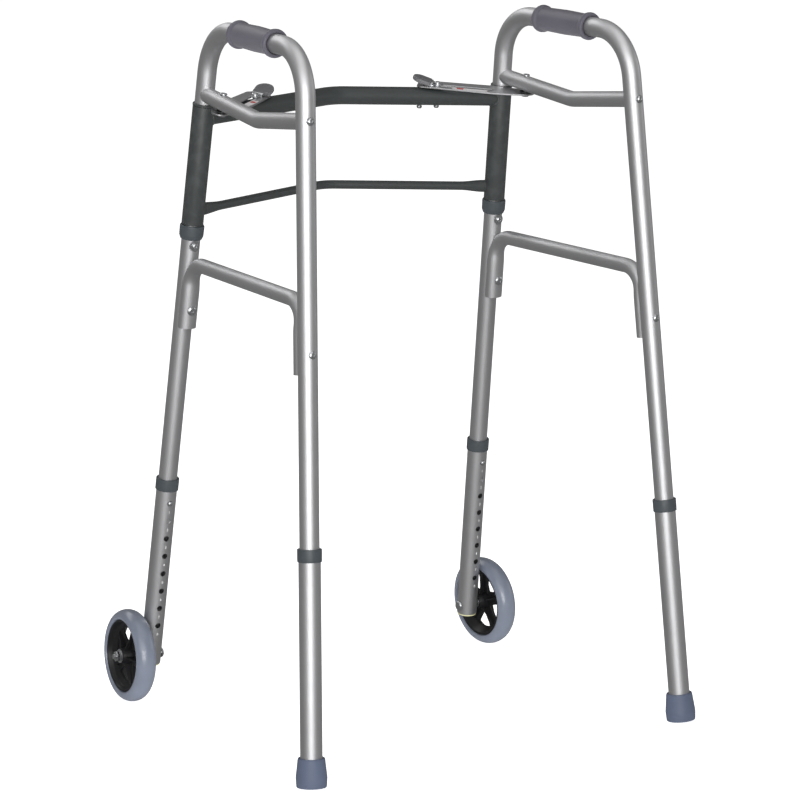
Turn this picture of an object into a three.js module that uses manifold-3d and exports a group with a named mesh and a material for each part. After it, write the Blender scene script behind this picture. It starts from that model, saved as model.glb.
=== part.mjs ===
// Folding walking frame with front wheels, millimetres.
// +X is the user's right, +Y the way it is pushed, +Z up, and the floor is z = 0.
import * as THREE from "three";
import { mergeVertices } from "three/addons/utils/BufferGeometryUtils.js";
import Module from "manifold-3d";

// Side frames: leg axes at the datum height, and how far they drift per mm downwards.
const datumZ = 800;
const frontLegTop = [235.1, 102.25];
const frontLegDrift = [0.0335, 0.158];
const rearLegTop = [251.4, -194.4];
const rearLegDrift = [0.047, -0.0877];
const legR = 12.7;
const wall = 1.4;
const clearance = 0.3;
const handleZ = 925.8;
const handleRise = 0.036;
const handleBendR = 66;
const legEndZ = 243;
const gripLength = 109;
const gripR = 15.8;
const gripFlangeR = 18.7;

// Front frame.
const sleeveOuterR = 14.6;
const sleeveTopZ = 827;
const sleeveBottomZ = 668.5;
const crossbarR = 12.4;
const crossbarZ = 812.5;
const crossbarRise = 10;
const crossbarBow = 60;
const lowerBarR = 6;
const lowerBarZ = 686;
const lowerBarRise = 11.5;
const lowerBarBow = 67;

// Side braces.
const upperBraceR = 10.6;
const lowerBraceR = 10;
const lowerArmReach = 13.2;

// Leg extensions: eight holes on a one inch pitch.
const extensionR = 14.2;
const holePitch = 25.4;
const holeCount = 8;
const holeR = 4.2;
const frontButtonZ = 283.5;
const rearButtonZ = 270;
const frontExtTopZ = 314.5;
const frontExtBottomZ = 51;
const rearExtTopZ = 301.5;
const rearExtBottomZ = 6;

// Wheels.
const wheelR = 63.5;
const wheelOffset = 31.5;
const tyreHalfWidth = 14.5;
const axleR = 4;

// Latches, measured from the front leg's axis.
const latchPivotReach = 54;
const slotPinReach = 93;
const lockPinReach = 24.5;
const plateThickness = 2;
const plateOverhang = 27.5;

const wasm = await Module();
wasm.setup();

const v3 = (x, y, z) => new THREE.Vector3(x, y, z);
const along = (p, dir, distance) => p.clone().addScaledVector(dir, distance);

function frontAxis(z) {
  const t = datumZ - z;
  return v3(frontLegTop[0] + frontLegDrift[0] * t, frontLegTop[1] + frontLegDrift[1] * t, z);
}

function rearAxis(z) {
  const t = datumZ - z;
  return v3(rearLegTop[0] + rearLegDrift[0] * t, rearLegTop[1] + rearLegDrift[1] * t, z);
}

const frontUp = frontAxis(1).sub(frontAxis(0)).normalize();
const rearUp = rearAxis(1).sub(rearAxis(0)).normalize();
const outward = frontUp.clone().cross(rearUp).normalize();
if (outward.x < 0) outward.negate();
const frontFore = outward.clone().cross(frontUp).normalize();
if (frontFore.y < 0) frontFore.negate();
const rearFore = outward.clone().cross(rearUp).normalize();
if (rearFore.y < 0) rearFore.negate();

// A basis whose Y axis is the given direction and whose X axis leans towards the hint.
function place(geometry, origin, dir, hint) {
  const y = dir.clone().normalize();
  const x = hint.clone().addScaledVector(y, -hint.dot(y)).normalize();
  const z = x.clone().cross(y);
  const matrix = new THREE.Matrix4().makeBasis(x, y, z).setPosition(origin);
  return geometry.applyMatrix4(matrix);
}

// Solid of revolution about a line: profile is [radius, height] from base to top.
function turned(profile, origin, dir, segments = 18, hint = outward) {
  const points = profile.map(([r, h]) => new THREE.Vector2(r, h));
  if (profile[0][0] > 0) points.push(points[0].clone());
  return place(new THREE.LatheGeometry(points, segments), origin, dir, hint);
}

function rod(a, b, r, segments = 20, hint = outward) {
  const length = a.distanceTo(b);
  return turned([[0, 0], [r, 0], [r, length], [0, length]], a, b.clone().sub(a), segments, hint);
}

function hollow(a, b, outer, inner, segments = 20, hint = outward) {
  const length = a.distanceTo(b);
  const profile = [[inner, 0], [outer, 0], [outer, length], [inner, length]];
  return turned(profile, a, b.clone().sub(a), segments, hint);
}

// Dome-headed fastener: shank from a towards dir, head at a.
function domedPin(a, dir, headR, headH, shankR, shankLength, segments = 12) {
  const profile = [
    [0, -headH],
    [headR * 0.55, -headH * 0.86],
    [headR * 0.9, -headH * 0.5],
    [headR, -headH * 0.12],
    [headR, 0],
    [shankR, 0],
    [shankR, shankLength],
    [0, shankLength],
  ];
  return turned(profile, a, dir, segments);
}

// A centreline with rounded corners, given as rings: straight runs need none between their ends.
class Rings extends THREE.Curve {
  constructor(points, radii, cornerSteps) {
    super();
    this.points = [points[0]];
    this.tangents = [points[1].clone().sub(points[0]).normalize()];
    for (let i = 1; i < points.length - 1; i++) {
      const into = points[i].clone().sub(points[i - 1]).normalize();
      const out = points[i + 1].clone().sub(points[i]).normalize();
      const turn = into.angleTo(out);
      const radius = radii[i - 1];
      const start = along(points[i], into, -radius * Math.tan(turn / 2));
      const inside = out.clone().addScaledVector(into, -out.dot(into)).normalize();
      for (let k = 0; k <= cornerSteps; k++) {
        const a = (turn * k) / cornerSteps;
        const p = along(along(start, into, radius * Math.sin(a)), inside, radius * (1 - Math.cos(a)));
        this.points.push(p);
        this.tangents.push(into.clone().multiplyScalar(Math.cos(a)).addScaledVector(inside, Math.sin(a)));
      }
    }
    this.points.push(points[points.length - 1]);
    this.tangents.push(points[points.length - 1].clone().sub(points[points.length - 2]).normalize());
  }

  get steps() {
    return this.points.length - 1;
  }

  getPointAt(u) {
    return this.points[Math.round(u * this.steps)].clone();
  }

  getTangentAt(u) {
    return this.tangents[Math.round(u * this.steps)].clone();
  }
}

// Tube along a rounded centreline, as an outer and an inner solid.
function bent(points, radii, r, cornerSteps = 6, halfFacets = 8) {
  const path = new Rings(points, radii, cornerSteps);
  const shape = new THREE.Shape();
  shape.absarc(0, 0, r, 0, Math.PI * 2, false);
  return new THREE.ExtrudeGeometry(shape, {
    extrudePath: path,
    steps: path.steps,
    curveSegments: halfFacets,
    bevelEnabled: false,
  });
}

function solid(geometry) {
  const bare = new THREE.BufferGeometry();
  bare.setAttribute("position", geometry.attributes.position);
  if (geometry.index) bare.setIndex(geometry.index);
  const merged = mergeVertices(bare, 1e-4);
  const tris = [];
  const index = merged.index.array;
  for (let i = 0; i < index.length; i += 3) {
    const [a, b, c] = [index[i], index[i + 1], index[i + 2]];
    if (a !== b && b !== c && c !== a) tris.push(a, b, c);
  }
  const mesh = new wasm.Mesh({
    numProp: 3,
    vertProperties: new Float32Array(merged.attributes.position.array),
    triVerts: new Uint32Array(tris),
  });
  const body = new wasm.Manifold(mesh);
  if (body.volume() >= 0) return body;
  for (let i = 0; i < tris.length; i += 3) [tris[i + 1], tris[i + 2]] = [tris[i + 2], tris[i + 1]];
  return new wasm.Manifold(new wasm.Mesh({
    numProp: 3,
    vertProperties: new Float32Array(merged.attributes.position.array),
    triVerts: new Uint32Array(tris),
  }));
}

function fromSolid(body) {
  const mesh = body.getMesh();
  const geometry = new THREE.BufferGeometry();
  geometry.setAttribute("position", new THREE.BufferAttribute(mesh.vertProperties, 3));
  geometry.setIndex(new THREE.BufferAttribute(mesh.triVerts, 1));
  return geometry;
}

const join = (...geometries) => fromSolid(wasm.Manifold.union(geometries.map(solid)));
const cut = (base, ...tools) => fromSolid(solid(base).subtract(wasm.Manifold.union(tools.map(solid))));

const finishes = {
  anodised: { color: 0xc4c5c8, metalness: 0.85, roughness: 0.35 },
  frontPaint: { color: 0x4b5050, metalness: 0.2, roughness: 0.45 },
  grip: { color: 0x66646f, metalness: 0, roughness: 0.7 },
  collar: { color: 0x5f666e, metalness: 0, roughness: 0.55 },
  tip: { color: 0x646e87, metalness: 0, roughness: 0.75 },
  tyre: { color: 0x7d8491, metalness: 0, roughness: 0.8 },
  hub: { color: 0x18191b, metalness: 0, roughness: 0.5 },
  steel: { color: 0xb9bcc0, metalness: 0.9, roughness: 0.25 },
  paddle: { color: 0x5f5f62, metalness: 0, roughness: 0.5 },
  black: { color: 0x1d1e20, metalness: 0, roughness: 0.6 },
  plug: { color: 0xc9cc9c, metalness: 0, roughness: 0.6 },
};
const materials = Object.fromEntries(
  Object.entries(finishes).map(([name, values]) => [
    name,
    new THREE.MeshStandardMaterial({ name, ...values }),
  ]),
);

const group = new THREE.Group();
group.name = "walking_frame";

function add(name, geometry, finish) {
  const flat = fromSolid(solid(geometry)).toNonIndexed();
  flat.computeVertexNormals();
  const mesh = new THREE.Mesh(flat, materials[finish]);
  mesh.name = name;
  group.add(mesh);
}

// Every side piece is drawn for the user's right and mirrored for the left.
function addPair(name, geometry, finish) {
  add(`right_${name}`, geometry.clone(), finish);
  add(`left_${name}`, geometry.clone().scale(-1, 1, 1), finish);
}

// Height on a leg's axis where a plane square to it passes a distance away.
const onFront = (z, fore, out = 0) => along(along(frontAxis(z), frontFore, fore), outward, out);
const onRear = (z, fore, out = 0) => along(along(rearAxis(z), rearFore, fore), outward, out);

// Inverted U of one side frame.
const handleDir = v3(0, 1, handleRise);
handleDir.addScaledVector(outward, -handleDir.dot(outward) / outward.lengthSq()).normalize();
const handleMid = frontAxis(handleZ).lerp(rearAxis(handleZ), 0.5);

function crossing(axisAt, up) {
  const p = axisAt(handleZ);
  const gap = handleMid.clone().sub(p);
  const a = up.clone().cross(handleDir);
  return along(p, up, gap.clone().cross(handleDir).dot(a) / a.lengthSq());
}
const frontCorner = crossing(frontAxis, frontUp);
const rearCorner = crossing(rearAxis, rearUp);
const legEndFront = frontAxis(legEndZ);
const legEndRear = rearAxis(legEndZ - 12);
const uPoints = [legEndFront, frontCorner, rearCorner, legEndRear];
const uRadii = [handleBendR, handleBendR];
const buttonHole = (origin, dir) => rod(along(origin, dir, 4), along(origin, dir, 20), holeR, 10);
const frontButtonAt = frontAxis(frontButtonZ);
const rearButtonAt = rearAxis(rearButtonZ);
const frontBack = frontFore.clone().negate();
const rearBack = rearFore.clone().negate();
const legOuter = bent(uPoints, uRadii, legR);
const boreStart = along(legEndFront, frontUp, -3);
const boreEnd = along(legEndRear, rearUp, -3);
const legBore = bent([boreStart, frontCorner, rearCorner, boreEnd], uRadii, legR - wall, 4, 6);
const legHoles = [buttonHole(frontButtonAt, frontBack), buttonHole(rearButtonAt, rearFore)];

// Fasteners through the legs, with the holes they need.
const screwR = 2.4;
const upperScrewZ = 834.6;
const frontRivetZ = 556;
const rearRivetZ = 546;
const stopBoltZ = 641.5;
const legPinHoles = [
  rod(onRear(upperScrewZ, -20), onRear(upperScrewZ, 20), screwR + 0.2, 8),
  rod(onFront(frontRivetZ, -20), onFront(frontRivetZ, -4), screwR + 0.2, 8),
  rod(onRear(rearRivetZ, -20), onRear(rearRivetZ, 20), screwR + 0.2, 8),
  rod(onFront(stopBoltZ, -20), onFront(stopBoltZ, 20), screwR + 0.2, 8),
];
addPair("leg_frame", cut(legOuter, legBore, ...legHoles, ...legPinHoles), "anodised");

const gripMid = frontCorner.clone().lerp(rearCorner, 0.5);
const half = gripLength / 2;
const gripProfile = [
  [legR + clearance, -half],
  [gripFlangeR - 1, -half],
  [gripFlangeR, -half + 1.5],
  [gripFlangeR, -half + 5],
  [gripR + 0.6, -half + 9],
  [gripR, -half + 16],
  [gripR + 0.5, 0],
  [gripR, half - 16],
  [gripR + 0.6, half - 9],
  [gripFlangeR, half - 5],
  [gripFlangeR, half - 1.5],
  [gripFlangeR - 1, half],
  [legR + clearance, half],
];
addPair("grip", turned(gripProfile, gripMid, handleDir, 20), "grip");

// Upper side brace: a shallow V between the legs, coped to fit round them.
const upperRear = onRear(upperScrewZ, 0);
const upperBend = onRear(upperScrewZ, 132);
upperBend.z = 823.3;
const upperFront = frontAxis(842.8);
const cope = (axisAt, z, r) => rod(axisAt(z - 40), axisAt(z + 40), r, 20);
const upperOuter = bent([upperRear, upperBend, upperFront], [60], upperBraceR, 3, 8);
const upperRun = upperFront.clone().sub(upperBend).normalize();
const upperBore = bent(
  [along(upperRear, rearFore, -3), upperBend, along(upperFront, upperRun, 3)],
  [60],
  upperBraceR - wall,
  3,
  6,
);
const pivotOnBrace = along(upperFront, upperRun, -latchPivotReach / Math.abs(upperRun.dot(frontFore)));
const pivotHole = rod(along(pivotOnBrace, frontUp, -20), along(pivotOnBrace, frontUp, 20), 2.8, 8);
addPair(
  "upper_brace",
  cut(
    upperOuter,
    upperBore,
    cope(frontAxis, 842, legR + clearance),
    cope(rearAxis, upperScrewZ, legR + clearance),
    pivotHole,
    rod(onRear(upperScrewZ, -20), onRear(upperScrewZ, 40), screwR + 0.2, 8),
  ),
  "anodised",
);
addPair(
  "upper_screw",
  domedPin(onRear(upperScrewZ, -legR - 0.2), rearFore, 4.6, 3, screwR, 2 * legR + 1, 12),
  "steel",
);

// Lower side brace: a U of smaller tube whose ends lie along the legs.
const lowerFrontTop = onFront(619, -lowerArmReach);
const lowerRearTop = onRear(611, lowerArmReach);
const lowerFrontEnd = onFront(531, -lowerArmReach);
const lowerRearEnd = onRear(520, lowerArmReach);
const lowerPoints = [lowerFrontEnd, lowerFrontTop, lowerRearTop, lowerRearEnd];
const lowerOuter = bent(lowerPoints, [34, 34], lowerBraceR, 4, 7);
const lowerBore = bent(
  [along(lowerPoints[0], frontUp, 20), lowerFrontTop, lowerRearTop, along(lowerPoints[3], rearUp, 20)],
  [34, 34],
  lowerBraceR - wall,
  3,
  5,
);
addPair(
  "lower_brace",
  cut(
    lowerOuter,
    lowerBore,
    rod(frontAxis(500), frontAxis(640), legR + clearance, 20),
    rod(rearAxis(500), rearAxis(640), legR + clearance, 20),
    rod(onFront(frontRivetZ, -40), onFront(frontRivetZ, 0), screwR + 0.2, 8),
    rod(onRear(rearRivetZ, 0), onRear(rearRivetZ, 40), screwR + 0.2, 8),
  ),
  "anodised",
);
const lowerFace = lowerArmReach + lowerBraceR;
addPair(
  "front_brace_rivet",
  domedPin(onFront(frontRivetZ, -lowerFace - 0.2), frontFore, 5, 2.6, screwR, lowerFace - 9, 12),
  "steel",
);
addPair(
  "rear_brace_rivet",
  domedPin(onRear(rearRivetZ, -legR - 0.2), rearFore, 4.4, 2.6, screwR, 2 * legR + 8, 12),
  "steel",
);

// Plastic collars above and below the front frame's sleeve.
const bushProfile = [[13, 0], [15, 0], [15, 2.6], [14.2, 3.4], [13, 3.4]];
addPair("top_bush", turned(bushProfile, frontAxis(sleeveTopZ + 0.4), frontUp), "black");
addPair(
  "sleeve_collar",
  turned(
    [[13, 0], [14.4, 0], [16.2, 5], [16.4, 6.5], [16.4, 17.5], [15.6, 19], [13, 19]],
    frontAxis(sleeveBottomZ - 19.6),
    frontUp,
  ),
  "collar",
);
addPair(
  "stop_bolt",
  domedPin(onFront(stopBoltZ, -legR - 0.2), frontFore, 4.6, 3.4, screwR, 2 * legR - 2, 12),
  "steel",
);

// Front frame: two sleeves, the top crossbar and the thin lower bar, welded together.
const mirrored = (p) => v3(-p.x, p.y, p.z);
const sleeveLow = frontAxis(sleeveBottomZ);
const sleeveHigh = frontAxis(sleeveTopZ);
const crossEnd = frontAxis(crossbarZ);
const crossMid = v3(0, crossEnd.y + crossbarBow, crossbarZ + crossbarRise);
const crossDir = crossMid.clone().sub(crossEnd).normalize();
const crossInner = along(crossEnd, crossDir, sleeveOuterR + 1);
const lowEnd = frontAxis(lowerBarZ);
const lowMid = v3(0, lowEnd.y + lowerBarBow, lowerBarZ + lowerBarRise);
const lowDir = lowMid.clone().sub(lowEnd).normalize();
const lowStart = along(lowEnd, lowDir, 4);
const flatEnd = rod(lowStart, along(lowEnd, lowDir, 34), lowerBarR + 1.6, 16, v3(0, 0, 1));
const frameOuter = join(
  rod(sleeveLow, sleeveHigh, sleeveOuterR, 20),
  rod(mirrored(sleeveLow), mirrored(sleeveHigh), sleeveOuterR, 20, v3(-1, 0, 0)),
  bent([crossEnd, crossMid, mirrored(crossEnd)], [70], crossbarR, 3, 9),
  bent([lowStart, lowMid, mirrored(lowStart)], [60], lowerBarR, 4, 6),
  flatEnd,
  flatEnd.clone().scale(-1, 1, 1),
);
const boreR = legR + clearance;
// The latch plate's underside is square to the fold axis and just clears the crossbar at its inboard end.
const slotPinOn = along(crossEnd, crossDir, slotPinReach / Math.hypot(crossDir.x, crossDir.y));
const inboard = crossDir.clone().addScaledVector(frontUp, -crossDir.dot(frontUp)).normalize();
const crossbarClimb = crossDir.dot(frontUp) / crossDir.dot(inboard);
const plateGap = 0.4 + crossbarClimb * plateOverhang;
const slotPin = along(slotPinOn, frontUp, crossbarR + plateGap);
const pivotDrop = pivotOnBrace.clone().sub(slotPin).dot(frontUp);
const pivot = along(pivotOnBrace, frontUp, -pivotDrop);
const spacerHeight = pivotDrop - upperBraceR - plateThickness - 1.3;
const lockPin = along(slotPin, inboard, lockPinReach);
const plateDir = slotPin.clone().sub(pivot).normalize();
const pinBore = (p) => rod(along(p, frontUp, -40), along(p, frontUp, 20), 3.2, 8);
add("front_frame", cut(
  frameOuter,
  rod(frontAxis(sleeveBottomZ - 5), frontAxis(sleeveTopZ + 5), boreR, 20),
  rod(mirrored(frontAxis(sleeveBottomZ - 5)), mirrored(frontAxis(sleeveTopZ + 5)), boreR, 20, v3(-1, 0, 0)),
  bent([crossInner, crossMid, mirrored(crossInner)], [70], crossbarR - wall, 3, 6),
  pinBore(slotPin),
  pinBore(slotPin).scale(-1, 1, 1),
  pinBore(lockPin),
  pinBore(lockPin).scale(-1, 1, 1),
), "frontPaint");

// Latch plate, slotted, on the rivet under the brace and over the pins of the crossbar.
const plateSpan = pivot.distanceTo(slotPin);
const plateOutline = new THREE.Shape();
plateOutline.moveTo(-6, -12);
plateOutline.lineTo(14, -20);
plateOutline.lineTo(52, -24);
plateOutline.lineTo(plateSpan + 20, -20);
plateOutline.quadraticCurveTo(plateSpan + plateOverhang, -18, plateSpan + plateOverhang, -8);
plateOutline.lineTo(plateSpan + plateOverhang, 8);
plateOutline.quadraticCurveTo(plateSpan + plateOverhang, 14, plateSpan + 20, 15);
plateOutline.lineTo(60, 17);
plateOutline.quadraticCurveTo(30, 17, 6, 12);
plateOutline.quadraticCurveTo(-12, 8, -12, -2);
plateOutline.quadraticCurveTo(-12, -9, -6, -12);
const slot = new THREE.Path();
slot.absarc(plateSpan, 0, 4, -Math.PI / 2, Math.PI / 2, false);
slot.absarc(plateSpan - 74, 0, 4, Math.PI / 2, Math.PI * 1.5, false);
plateOutline.holes.push(slot);
const pivotEye = new THREE.Path();
pivotEye.absarc(0, 0, 3.2, 0, Math.PI * 2, false);
plateOutline.holes.push(pivotEye);
const platePlace = new THREE.Matrix4()
  .makeBasis(plateDir, frontUp.clone().cross(plateDir), frontUp)
  .setPosition(pivot);
const onPlate = (u, w, h) => v3(u, w, h).applyMatrix4(platePlace);

function pressed(shape, height, curveSegments = 6) {
  return new THREE.ExtrudeGeometry(shape, { depth: height, bevelEnabled: false, curveSegments });
}
addPair("latch_plate", pressed(plateOutline, plateThickness).applyMatrix4(platePlace), "steel");

const plateTop = plateThickness;
const rivetTop = pivotDrop + upperBraceR + 0.3;
addPair(
  "plate_rivet",
  turned(
    [
      [0, -3],
      [5, -2.8],
      [5.4, -0.7],
      [2.5, -0.7],
      [2.5, rivetTop],
      [6, rivetTop],
      [5.6, rivetTop + 1.7],
      [0, rivetTop + 2.7],
    ],
    pivot,
    frontUp,
    16,
  ),
  "steel",
);
const spacerBase = plateThickness + 0.9;
const spacerProfile = [[2.8, 0], [8, 0], [8, spacerHeight], [2.8, spacerHeight]];
addPair("plate_spacer", turned(spacerProfile, along(pivot, frontUp, spacerBase), frontUp, 20), "black");
addPair(
  "slot_pin_head",
  turned(
    [
      [0, 0.1],
      [3.2, 0.1],
      [3.2, plateTop + 0.3],
      [7.5, plateTop + 0.3],
      [7.5, plateTop + 1.5],
      [4.8, plateTop + 1.5],
      [4.6, plateTop + 4],
      [3, plateTop + 5],
      [0, plateTop + 5.2],
    ],
    slotPin,
    frontUp,
    16,
  ),
  "steel",
);
const pinDepth = 2 * crossbarR + plateGap + 3;
addPair(
  "slot_pin",
  turned(
    [
      [0, -pinDepth - 1],
      [4.4, -pinDepth],
      [4.8, -pinDepth + 2.6],
      [2.8, -pinDepth + 2.6],
      [2.8, -0.3],
      [0, -0.3],
    ],
    slotPin,
    frontUp,
    14,
  ),
  "steel",
);

addPair(
  "lock_pin",
  turned(
    [
      [0, -pinDepth - 1],
      [4.4, -pinDepth],
      [4.8, -pinDepth + 2.6],
      [2.8, -pinDepth + 2.6],
      [2.8, -0.4],
      [0, -0.4],
    ],
    lockPin,
    frontUp,
    14,
  ),
  "steel",
);

// Release paddle on the plate's inboard end.
const paddleShape = new THREE.Shape();
paddleShape.moveTo(-4, -11);
paddleShape.lineTo(7, -11.6);
paddleShape.absarc(8.4, 0, 11.6, -Math.PI / 2, Math.PI / 2, false);
paddleShape.lineTo(-4, 11);
paddleShape.closePath();
const paddleBody = new THREE.ExtrudeGeometry(paddleShape, {
  depth: 3.6,
  bevelEnabled: true,
  bevelThickness: 1.4,
  bevelSize: 1.4,
  bevelSegments: 2,
  curveSegments: 7,
});
const paddleTilt = THREE.MathUtils.degToRad(13);
const paddleAt = plateSpan + 13.5;
const paddleSide = 5;
const paddleLift = plateTop + 3.4;
const paddlePlace = platePlace
  .clone()
  .multiply(new THREE.Matrix4().makeTranslation(paddleAt, paddleSide, paddleLift))
  .multiply(new THREE.Matrix4().makeRotationY(-paddleTilt));
addPair("paddle", paddleBody.applyMatrix4(paddlePlace), "paddle");

// Telescopic extensions. Holes face the rear at the front and the front at the rear.
function extension(axisAt, topZ, bottomZ, buttonAt, up, holeDir) {
  const tube = hollow(axisAt(bottomZ), axisAt(topZ), extensionR, boreR);
  const holes = [];
  for (let i = 0; i < holeCount; i++) {
    holes.push(buttonHole(along(buttonAt, up, -holePitch * i), holeDir));
  }
  return [tube, holes];
}
const frontSpan = [frontExtTopZ, frontExtBottomZ];
const rearSpan = [rearExtTopZ, rearExtBottomZ];
const [frontTube, frontHoles] = extension(frontAxis, ...frontSpan, frontButtonAt, frontUp, frontBack);
const [rearTube, rearHoles] = extension(rearAxis, ...rearSpan, rearButtonAt, rearUp, rearFore);
const axleAt = frontAxis(wheelR - 1);
const axleHole = rod(along(axleAt, outward, -20), along(axleAt, outward, 20), axleR + 0.7, 10, frontUp);
addPair("front_extension", cut(frontTube, ...frontHoles, axleHole), "anodised");
addPair("rear_extension", cut(rearTube, ...rearHoles), "anodised");
const collarProfile = [
  [14.5, 0],
  [15.4, 0],
  [15.8, 0.8],
  [15.8, 15.5],
  [15.2, 16.5],
  [13.1, 16.5],
  [13.1, 14.9],
  [14.5, 14.9],
];
addPair("front_extension_collar", turned(collarProfile, frontAxis(frontExtTopZ - 14.5), frontUp), "collar");
addPair("rear_extension_collar", turned(collarProfile, rearAxis(rearExtTopZ - 14.5), rearUp), "collar");
const buttonProfile = [[0, 0], [5.4, 0], [5.4, 2], [3.8, 2], [3.8, 7.6], [3, 9], [1.6, 9.8], [0, 10]];
addPair("front_button", turned(buttonProfile, along(frontButtonAt, frontBack, 7.2), frontBack, 12), "steel");
addPair("rear_button", turned(buttonProfile, along(rearButtonAt, rearFore, 7.2), rearFore, 12), "steel");
const plugProfile = [[0, -2.2], [13.6, -2.2], [14, -1.4], [14, -0.3], [12.6, -0.3], [12.6, 6], [0, 6]];
addPair("end_plug", turned(plugProfile, frontAxis(frontExtBottomZ), frontUp), "plug");
const tipProfile = [
  [0, -3],
  [18.6, -3],
  [19.4, 0.8],
  [20.2, 7],
  [20.5, 14],
  [19.9, 22],
  [18.6, 31],
  [17.6, 37.5],
  [16.9, 39.6],
  [14.6, 39.6],
  [14.5, 5.4],
  [0, 5.4],
];
const belowFloor = new THREE.BoxGeometry(80, 80, 40).translate(rearAxis(0).x, rearAxis(0).y, -20);
addPair("rear_tip", cut(turned(tipProfile, rearAxis(0), rearUp), belowFloor), "tip");

// Front wheels outside the legs.
const wheelAt = along(axleAt, outward, wheelOffset);
const tyreProfile = [
  [50, -tyreHalfWidth + 2],
  [53, -tyreHalfWidth],
  [58, -tyreHalfWidth + 0.5],
  [62, -tyreHalfWidth + 4.5],
  [wheelR, -tyreHalfWidth + 10],
  [wheelR, tyreHalfWidth - 10],
  [62, tyreHalfWidth - 4.5],
  [58, tyreHalfWidth - 0.5],
  [53, tyreHalfWidth],
  [50, tyreHalfWidth - 2],
];
addPair("tyre", turned(tyreProfile, wheelAt, outward, 36, frontUp), "tyre");
const rim = turned(
  [[44, -9], [49.7, -12], [49.7, 12], [44, 9]],
  wheelAt,
  outward,
  36,
  frontUp,
);
const bossBore = axleR + 0.3;
const bossProfile = [[bossBore, -15.5], [11, -15.5], [13, -8], [13, 11], [11, 14], [bossBore, 14]];
const boss = turned(bossProfile, wheelAt, outward, 16, frontUp);
const wheelPlace = new THREE.Matrix4()
  .makeBasis(frontFore, frontUp, frontFore.clone().cross(frontUp))
  .setPosition(wheelAt);
const spokes = [];
for (let i = 0; i < 5; i++) {
  const spoke = new THREE.BoxGeometry(15, 36, 8);
  spoke.translate(0, 28.5, 0);
  spoke.rotateZ((i * 2 * Math.PI) / 5);
  spokes.push(spoke.applyMatrix4(wheelPlace));
}
const web = turned([[12, -2], [46, -2], [46, 2], [12, 2]], wheelAt, outward, 24, frontUp);
addPair("hub", join(rim, boss, web, ...spokes), "hub");
const bossInner = wheelOffset - 15.5;
addPair(
  "axle_bolt",
  turned(
    [
      [0, -6.4],
      [4, -5.6],
      [6.6, -3.4],
      [7, -0.6],
      [7, 0],
      [axleR, 0],
      [axleR, extensionR + wheelOffset + 25],
      [0, extensionR + wheelOffset + 25],
    ],
    along(axleAt, outward, -extensionR - 0.3),
    outward,
    16,
    frontUp,
  ),
  "steel",
);
addPair(
  "axle_nut",
  cut(
    join(
      turned([[0, 0], [9.5, 0], [9.5, 1.4], [0, 1.4]], along(wheelAt, outward, 14.4), outward, 16, frontUp),
      turned([[0, 1], [7.4, 1], [7.4, 7.6], [0, 7.6]], along(wheelAt, outward, 14.4), outward, 6, frontUp),
    ),
    rod(axleAt, along(wheelAt, outward, 40), axleR + 0.3, 14, frontUp),
  ),
  "steel",
);

export default group;
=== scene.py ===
"""Looks of the folding walking frame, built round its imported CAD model. Sizes are in mm, placed in metres."""

import math

import bmesh
import bpy
import numpy as np
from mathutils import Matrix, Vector


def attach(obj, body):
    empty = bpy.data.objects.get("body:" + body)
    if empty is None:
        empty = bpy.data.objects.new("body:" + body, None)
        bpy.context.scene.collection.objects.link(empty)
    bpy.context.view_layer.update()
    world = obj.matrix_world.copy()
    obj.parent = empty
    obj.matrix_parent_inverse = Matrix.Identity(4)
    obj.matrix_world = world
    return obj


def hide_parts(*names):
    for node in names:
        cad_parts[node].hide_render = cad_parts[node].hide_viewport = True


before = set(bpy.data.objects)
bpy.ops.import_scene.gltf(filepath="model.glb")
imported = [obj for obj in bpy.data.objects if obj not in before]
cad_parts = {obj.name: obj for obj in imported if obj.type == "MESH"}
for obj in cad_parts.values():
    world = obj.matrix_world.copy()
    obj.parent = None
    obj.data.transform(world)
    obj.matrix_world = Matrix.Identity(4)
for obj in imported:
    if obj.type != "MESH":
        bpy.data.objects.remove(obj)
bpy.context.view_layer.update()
MM = 0.001

# ---------------------------------------------------------------- skeleton, as in the CAD model
DATUM_Z = 800.0
FRONT_TOP, FRONT_DRIFT = (235.1, 102.25), (0.0335, 0.158)
REAR_TOP, REAR_DRIFT = (251.4, -194.4), (0.047, -0.0877)
LEG_R = 12.7
WALL = 1.4
EXT_R = 14.2
BORE_R = 13.0
SLEEVE_R = 14.6


def arr(*v):
    return np.array(v, float)


def unit(v):
    return v / np.linalg.norm(v)


def front_axis(z):
    t = DATUM_Z - z
    return arr(FRONT_TOP[0] + FRONT_DRIFT[0] * t, FRONT_TOP[1] + FRONT_DRIFT[1] * t, z)


def rear_axis(z):
    t = DATUM_Z - z
    return arr(REAR_TOP[0] + REAR_DRIFT[0] * t, REAR_TOP[1] + REAR_DRIFT[1] * t, z)


FRONT_UP = unit(front_axis(1) - front_axis(0))
REAR_UP = unit(rear_axis(1) - rear_axis(0))
OUTWARD = unit(np.cross(FRONT_UP, REAR_UP))
OUTWARD = OUTWARD * np.sign(OUTWARD[0])
FRONT_FORE = unit(np.cross(OUTWARD, FRONT_UP))
FRONT_FORE = FRONT_FORE * np.sign(FRONT_FORE[1])
REAR_FORE = unit(np.cross(OUTWARD, REAR_UP))
REAR_FORE = REAR_FORE * np.sign(REAR_FORE[1])
HANDLE = arr(0, 1, 0.036)
HANDLE = unit(HANDLE - HANDLE @ OUTWARD * OUTWARD)


def on_front(z, fore, out=0.0):
    return front_axis(z) + FRONT_FORE * fore + OUTWARD * out


def on_rear(z, fore, out=0.0):
    return rear_axis(z) + REAR_FORE * fore + OUTWARD * out


def meet(p, up, mid, direction):
    """Point on the line p + s * up nearest the line mid + t * direction."""
    a = np.cross(up, direction)
    return p + up * (np.cross(mid - p, direction) @ a / (a @ a))


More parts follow.
